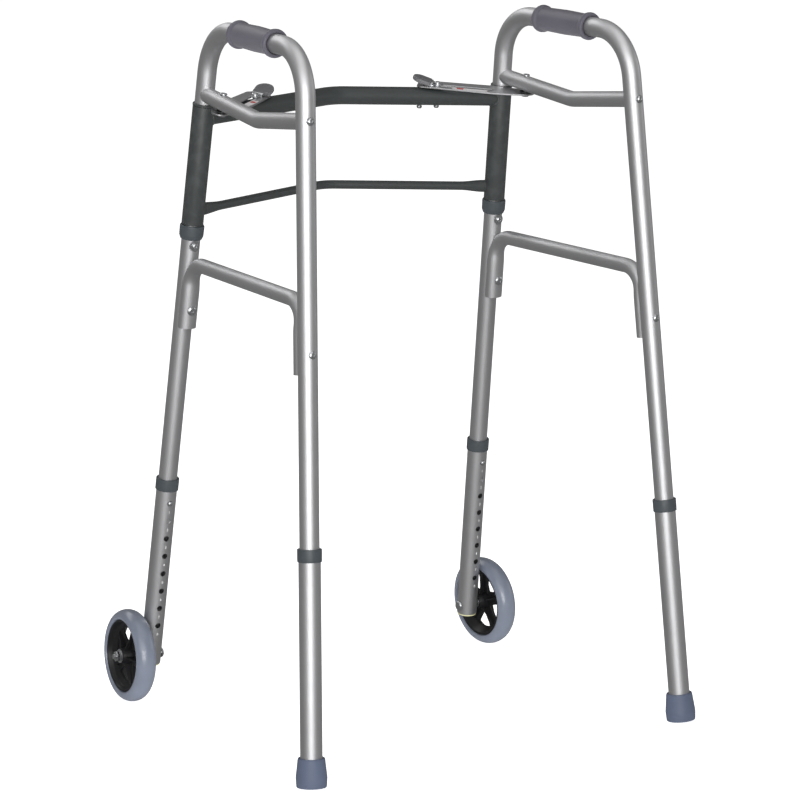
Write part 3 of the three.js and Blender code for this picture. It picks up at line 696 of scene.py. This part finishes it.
# ---------------------------------------------------------------- release paddles
TILT = math.radians(16)
PADDLE_REACH, PADDLE_SIDE, PADDLE_LIFT = 13.5, 5, 3.2
paddle_x = plate_dir * math.cos(TILT) + FRONT_UP * math.sin(TILT)
paddle_z = FRONT_UP * math.cos(TILT) - plate_dir * math.sin(TILT)
paddle_at = pivot + plate_dir * (span + PADDLE_REACH) + plate_side * PADDLE_SIDE
paddle_at = paddle_at + FRONT_UP * (PLATE_T + PADDLE_LIFT)
paddle_place = (paddle_at, paddle_x, plate_side, paddle_z)
paddle_outline = [(-5, -12.2), (8, -12.8)] + arc(8.6, 0, 12.8, -87, 87, 22) + [(8, 12.8), (-5, 12.2)]
paddle = slab(paddle_outline, [], 6.2, paddle_place, 1.8, -1.3)
paddle_ribs = []
for i in range(4):
    x = 4.0 + 3.6 * i
    w = 8.6 - 0.5 * i * i
    bar = [(x, -w), (x + 1.3, -w), (x + 1.3, w), (x, w)]
    paddle_ribs.append(slab(bar, [], 0.6, paddle_place, 0.22, 4.7))
pair("paddle", merge(paddle, *paddle_ribs), PADDLE, "release", "paddle", ["paddle"], 0)
clip_place = (pivot + plate_dir * (span + 5), plate_dir, plate_side, FRONT_UP)
clip = slab([(0, -8), (11, -8), (11, 8), (0, 8)], [], 1.2, clip_place, 0.3, PLATE_T + 0.1)
hinge_at = pivot + plate_dir * (span + 8) + FRONT_UP * (PLATE_T + PADDLE_LIFT)
hinge = turned([(0, -8.5), (1.9, -8.5), (1.9, 8.5), (0, 8.5)], hinge_at, plate_side, 24, fillet=0.4)
pair("paddle_clip", merge(clip, hinge), STEEL, "latch", "steel")

# ---------------------------------------------------------------- extensions
HOLE_R, PITCH, HOLES = 3.9, 25.4, 8
FRONT_BUTTON_Z, REAR_BUTTON_Z = 283.5, 270.0


def perforated(low, high, direction, button_at, hole_dir, axle=None):
    """Extension tube, and the cutters (point, direction, radius, start) of the holes through one wall."""
    length = np.linalg.norm(high - low)
    profile = [(BORE_R, 0, 0.3), (EXT_R, 0, 0.4), (EXT_R, length, 0.4), (BORE_R, length, 0.3)]
    holes = [(button_at - direction * PITCH * i, hole_dir, HOLE_R, 4) for i in range(HOLES)]
    return turned(profile, low, direction, 72), holes + (axle or [])


def boolean_pair(name, tube, cutters, material_used, body, nodes, axis_point, axis_dir):
    """Cuts the holes on both sides with exact booleans, then gives the round faces their true normals."""
    for side in ("right", "left"):
        left = side == "left"
        obj = piece(f"look_{side}_{name}", tube, material_used, f"{side}_{body}",
                    [f"{side}_{n}" for n in nodes], 32.0, left)
        parts = [turned([(0, low), (r, low), (r, 22), (0, 22)], p, d, 32, fillet=0) for p, d, r, low in cutters]
        verts, faces, _ = merge(*parts)
        verts = verts * MM * (arr(-1, 1, 1) if left else 1)
        mesh = bpy.data.meshes.new("cutter")
        mesh.from_pydata([tuple(v) for v in verts], [], [f[::-1] for f in faces] if left else faces)
        cutter = bpy.data.objects.new("cutter", mesh)
        bpy.context.scene.collection.objects.link(cutter)
        mod = obj.modifiers.new("holes", "BOOLEAN")
        mod.object = cutter
        mod.operation = "DIFFERENCE"
        mod.solver = "EXACT"
        depsgraph = bpy.context.evaluated_depsgraph_get()
        done = bpy.data.meshes.new_from_object(obj.evaluated_get(depsgraph))
        obj.modifiers.clear()
        obj.data = done
        bpy.data.objects.remove(cutter)
        a = axis_point * MM * (arr(-1, 1, 1) if left else 1)
        d = axis_dir * (arr(-1, 1, 1) if left else 1)
        normals = []
        for poly in done.polygons:
            flat = arr(*poly.normal)
            for li in poly.loop_indices:
                p = arr(*done.vertices[done.loops[li].vertex_index].co) - a
                radial = p - p @ d * d
                radial = radial / max(np.linalg.norm(radial), 1e-9)
                facing = flat @ radial
                normals.append(tuple(radial * np.sign(facing)) if abs(facing) > 0.9 else tuple(flat))
        done.normals_split_custom_set(normals)


AXLE_Z = 62.5
FRONT_EXT_Z, REAR_EXT_Z = (51, 314.5), (6, 301.5)
FRONT_COLLAR_Z, REAR_COLLAR_Z = 300, 287
axle_at = front_axis(AXLE_Z)
front_low, front_high = (front_axis(z) for z in FRONT_EXT_Z)
rear_low, rear_high = (rear_axis(z) for z in REAR_EXT_Z)
front_button, rear_button = front_axis(FRONT_BUTTON_Z), rear_axis(REAR_BUTTON_Z)
axle_hole = (axle_at, OUTWARD, 4.7, -22)
tube, cutters = perforated(front_low, front_high, FRONT_UP, front_button, -FRONT_FORE, [axle_hole])
boolean_pair(
    "front_extension", tube, cutters, ALUMINIUM, "front_foot", ["front_extension"], front_low, FRONT_UP)
tube, cutters = perforated(rear_low, rear_high, REAR_UP, rear_button, REAR_FORE)
boolean_pair("rear_extension", tube, cutters, ALUMINIUM, "rear_foot", ["rear_extension"], rear_low, REAR_UP)

ring_profile = [
    (14.4, 0), (15.7, 0, 1.4), (15.8, 16.5, 1.4), (13.05, 16.5, 0.4), (13.05, 15.0, 0.2), (14.4, 15.0, 0.2),
]
front_ring = turned(ring_profile, front_axis(FRONT_COLLAR_Z), FRONT_UP, 64)
rear_ring = turned(ring_profile, rear_axis(REAR_COLLAR_Z), REAR_UP, 64)
pair("front_collar", front_ring, COLLAR, "front_foot", "collar", ["front_extension_collar"])
pair("rear_collar", rear_ring, COLLAR, "rear_foot", "collar", ["rear_extension_collar"])
button_profile = [(0, 0), (5.2, 0), (5.2, 2), (3.5, 2, 0), (3.5, 7.6, 0.2), (3.2, 9, 1), (1.6, 10, 1), (0, 10)]
BUTTON_SEAT = 7.2
front_snap = turned(button_profile, front_button - FRONT_FORE * BUTTON_SEAT, -FRONT_FORE, 32)
rear_snap = turned(button_profile, rear_button + REAR_FORE * BUTTON_SEAT, REAR_FORE, 32)
pair("front_button", front_snap, STEEL, "front_snap", "steel", ["front_button"])
pair("rear_button", rear_snap, STEEL, "rear_snap", "steel", ["rear_button"])
plug_profile = [(0, -2.2), (13.6, -2.2, 0.8), (14, -0.3, 0.3), (12.6, -0.3, 0.1), (12.6, 6, 0.3), (0, 6)]
pair("end_plug", turned(plug_profile, front_low, FRONT_UP), PLUG, "front_foot", "plug", ["end_plug"])


def digits(up, out_dir, button_at, body):
    """Small position numbers, one under each hole, wrapped on the tube's surface."""
    for side in ("right", "left"):
        m = arr(-1 if side == "left" else 1, 1, 1)
        for i in range(HOLES):
            curve = bpy.data.curves.new(f"mark_{i}", "FONT")
            curve.body = str(i + 1)
            curve.size = 5.0
            curve.align_x = "CENTER"
            curve.align_y = "CENTER"
            temp = bpy.data.objects.new("mark", curve)
            bpy.context.scene.collection.objects.link(temp)
            depsgraph = bpy.context.evaluated_depsgraph_get()
            mesh = bpy.data.meshes.new_from_object(temp.evaluated_get(depsgraph))
            bpy.data.objects.remove(temp)
            centre = button_at - up * (PITCH * (i + 0.5))
            u, o = up * m, out_dir * m
            right = np.cross(u, o)
            for v in mesh.vertices:
                a = v.co.x / EXT_R
                p = centre * m + u * v.co.y + (o * math.cos(a) + right * math.sin(a)) * (EXT_R + 0.03)
                v.co = Vector(p * MM)
            mesh.materials.clear()
            mesh.materials.append(MARKS)
            obj = bpy.data.objects.new(f"look_{side}_{body}_number_{i + 1}", mesh)
            bpy.context.scene.collection.objects.link(obj)
            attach(obj, f"{side}_{body}")


digits(FRONT_UP, -FRONT_FORE, front_button, "front_foot")
digits(REAR_UP, REAR_FORE, rear_button, "rear_foot")

# ---------------------------------------------------------------- rear tips
tip_profile = [
    (0, 2.9), (14.5, 2.9, 1), (15.5, 2.0, 0.5), (19.3, 2.0, 1.2), (20.2, 14, 9), (17.6, 37.5, 2),
    (16.9, 39.6, 1.2), (14.5, 39.0, 0.8), (14.5, 5.2, 0.3), (0, 5.2),
]
pair("rear_tip", turned(tip_profile, rear_axis(0), REAR_UP, 72), TIP, "rear_foot", "tip", ["rear_tip"])

# ---------------------------------------------------------------- wheels
HALF_W = 14.5
WHEEL_OUT = 31.5
wheel_at = axle_at + OUTWARD * WHEEL_OUT
tyre_profile = [(49.6, -HALF_W + 3.5, 0.6), (50.6, -HALF_W + 0.4, 0.8), (53.5, -HALF_W, 2)]
for k in range(0, 13):
    a = math.radians(-78 + 13 * k)
    tyre_profile.append((51.6 + 11.9 * math.cos(a) ** 0.9, 14.4 * math.sin(a), 0))
tyre_profile += [(53.5, HALF_W, 2), (50.6, HALF_W - 0.4, 0.8), (49.6, HALF_W - 3.5, 0.6)]
pair("tyre", turned(tyre_profile, wheel_at, OUTWARD, 96, FRONT_UP), TYRE, "wheel", "tyre", ["tyre"], sharp=40)

WEB_LOW, WEB_TOP = -1.5, 1.9
rim_profile = [
    (38.5, WEB_LOW, 0.8), (46.2, -12.2, 0.8), (49.4, -12.2, 0.4), (49.4, 12.2, 0.4), (46.8, 12.2, 0.8),
    (44.6, 6, 3), (38.5, WEB_TOP, 1.0),
]
rim = turned(rim_profile, wheel_at, OUTWARD, 96, FRONT_UP)
boss_profile = [
    (4.3, -15.5), (9.5, -15.5, 0.8), (11.5, -9, 2), (12.5, WEB_LOW, 1.5), (12.5, WEB_TOP, 1.5), (11.0, 8, 2),
    (10.0, 14, 0.8), (4.3, 14),
]
boss = turned(boss_profile, wheel_at, OUTWARD, 48, FRONT_UP)


def spoke(angle):
    """Broad web from the boss to the rim, with a raised rib along it on both faces."""
    out = FRONT_UP * math.cos(angle) + FRONT_FORE * math.sin(angle)
    across = FRONT_FORE * math.cos(angle) - FRONT_UP * math.sin(angle)
    rings = []
    for t in np.linspace(0, 1, 9):
        r = 9.0 + 31.5 * t
        half = 9.2 + 0.8 * t * t + 2.4 * max(0.0, t - 0.75) / 0.25
        rise = WEB_TOP + 1.4 + 7.0 * (1 - t)
        drop = WEB_LOW - 1.2 - 7.0 * (1 - t)
        section = [
            (-half, WEB_LOW + 0.7), (-half + 0.7, WEB_LOW), (-1.6, WEB_LOW), (-1.0, drop),
            (1.0, drop), (1.6, WEB_LOW), (half - 0.7, WEB_LOW), (half, WEB_LOW + 0.7),
            (half, WEB_TOP - 0.7), (half - 0.7, WEB_TOP), (1.7, WEB_TOP), (1.0, rise),
            (-1.0, rise), (-1.7, WEB_TOP), (-half + 0.7, WEB_TOP), (-half, WEB_TOP - 0.7),
        ]
        rings.append([wheel_at + out * r + across * a + OUTWARD * b for a, b in section])
    return ring_grid(rings, [float(i) for i in range(10)], closed_ends=True)


SPOKES = 5
for side, phase in (("right", 8.0), ("left", 58.0)):
    spokes = [spoke(math.radians(phase + 360 / SPOKES * i)) for i in range(SPOKES)]
    hub = merge(rim, boss, *spokes)
    piece(f"look_{side}_hub", hub, HUB, f"{side}_wheel", [f"{side}_hub"], 28, side == "left")

bolt_len = EXT_R + WHEEL_OUT + 25
bolt_at = axle_at - OUTWARD * (EXT_R + 0.3)
bolt_profile = [
    (0, -4.2), (3.2, -4.0, 1), (6.2, -2.6, 2), (7, -0.6, 0.4), (7, 0, 0.2), (4, 0, 0), (4, bolt_len, 0.8),
    (0, bolt_len),
]
bolt = turned(bolt_profile, bolt_at, OUTWARD, 40, FRONT_UP)
pair("axle_bolt", bolt, STEEL, "front_foot", "steel", ["axle_bolt"])


def hexagon(r):
    return [(r * math.cos(math.radians(60 * k)), r * math.sin(math.radians(60 * k))) for k in range(6)]


nut_at = wheel_at + OUTWARD * 14.4
flip = np.sign(np.cross(FRONT_UP, FRONT_FORE) @ OUTWARD)
nut_place = (nut_at, FRONT_UP, FRONT_FORE * flip, OUTWARD)
nut = slab(hexagon(7.5), [arc(0, 0, 4.15, 0, 360, 24)[:-1]], 6.2, nut_place, 0.5, 1.4)
THREADS, THREAD_PITCH, THREAD_START = 7, 0.8, 2.2
ribbed = []
for k in range(THREADS):
    thread_at = bolt_at + OUTWARD * (bolt_len - THREAD_START - k * THREAD_PITCH)
    ribbed.append(turned([(3.9, 0), (4.35, 0.35), (3.9, 0.7)], thread_at, OUTWARD, 24, fillet=0))
nut_washer = washer(nut_at, OUTWARD, 4.2, 9.5, 1.3)
pair("axle_nut", merge(nut, nut_washer), STEEL, "front_foot", "steel", ["axle_nut"])
pair("axle_thread", merge(*ribbed), STEEL, "front_foot", "steel")
axle_spacer_at = axle_at + OUTWARD * (EXT_R + 0.2)
axle_spacer = turned([(4.2, 0), (8.2, 0), (8.2, 1.4), (4.2, 1.4)], axle_spacer_at, OUTWARD, 40, fillet=0.3)
pair("axle_spacer", axle_spacer, STEEL, "front_foot", "steel")

# ---------------------------------------------------------------- stage, light and camera
FLOOR = material(
    "floor", (0.9, 0.9, 0.9), 0.8, grain=60.0, bump=0.02, depth=0.0001, vary=0.01, mottle=0.8,
    sockets={"Emission Color": (1, 1, 1, 1), "Emission Strength": 0.9, "Specular IOR Level": 0.1},
)
FLOOR_HALF = 40.0
floor_mesh = bpy.data.meshes.new("floor")
corners = [(-1, -1), (1, -1), (1, 1), (-1, 1)]
floor_mesh.from_pydata([(x * FLOOR_HALF, y * FLOOR_HALF, 0) for x, y in corners], [], [(0, 1, 2, 3)])
floor_mesh.materials.append(FLOOR)
floor = bpy.data.objects.new("floor", floor_mesh)
floor.visible_glossy = False
bpy.context.scene.collection.objects.link(floor)

BACKDROP_R, BACKDROP_H, BACKDROP_SIDES = 39.0, 60.0, 64
wall = [(BACKDROP_R * math.cos(a), BACKDROP_R * math.sin(a), z) for z in (0, BACKDROP_H)
        for a in np.radians(np.arange(BACKDROP_SIDES) * 360 / BACKDROP_SIDES)]
wall_faces = [(k + BACKDROP_SIDES, j + BACKDROP_SIDES, j, k)
              for k, j in ((k, (k + 1) % BACKDROP_SIDES) for k in range(BACKDROP_SIDES))]
wall_mesh = bpy.data.meshes.new("backdrop")
wall_mesh.from_pydata(wall, [], wall_faces)
wall_mesh.materials.append(FLOOR)
backdrop = bpy.data.objects.new("backdrop", wall_mesh)
backdrop.visible_glossy = backdrop.visible_diffuse = False
backdrop.visible_transmission = backdrop.visible_shadow = False
bpy.context.scene.collection.objects.link(backdrop)

world = bpy.data.worlds.new("studio")
bpy.context.scene.world = world
world.use_nodes = True
world.node_tree.nodes["Background"].inputs["Color"].default_value = (1, 1, 1, 1)
world.node_tree.nodes["Background"].inputs["Strength"].default_value = 0.2


def softbox(name, azimuth, elevation, distance, look, width, height, power):
    """Rectangular light seen from the object at an azimuth (0 is behind the user) and an elevation."""
    a, e = math.radians(azimuth), math.radians(elevation)
    toward = Vector((-math.sin(a) * math.cos(e), -math.cos(a) * math.cos(e), math.sin(e)))
    at = toward * distance + Vector(look)
    data = bpy.data.lights.new(name, "AREA")
    data.shape = "RECTANGLE"
    data.size, data.size_y, data.energy = width, height, power
    lamp = bpy.data.objects.new(name, data)
    lamp.location = at
    lamp.rotation_euler = (Vector(look) - at).to_track_quat("-Z", "Y").to_euler()
    bpy.context.scene.collection.objects.link(lamp)


softbox("key", 31, 4, 4.2, (0, 0, 0.55), 2.8, 1.7, 84)
softbox("wide", 36, 26, 4.2, (0, 0, 0.55), 5.6, 2.6, 70)
softbox("top", 20, 78, 3.8, (0, 0, 0.3), 3.6, 3.6, 36)
softbox("fill", -70, 16, 4.2, (0, 0, 0.5), 1.6, 1.8, 10)
softbox("back", 165, 40, 4.4, (0, 0, 0.6), 3.4, 1.6, 34)

camera_data = bpy.data.cameras.new("camera")
camera_data.sensor_width = 36.0
camera_data.lens = 159.0
camera_data.clip_end = 100.0
camera = bpy.data.objects.new("camera", camera_data)
camera.location = (-2.4659, -3.9558, 1.3232)
camera.rotation_euler = (math.radians(90 - 10.89), 0.0, math.radians(-32.02))
bpy.context.scene.collection.objects.link(camera)
bpy.context.scene.camera = camera
bpy.context.scene.view_settings.view_transform = "Standard"
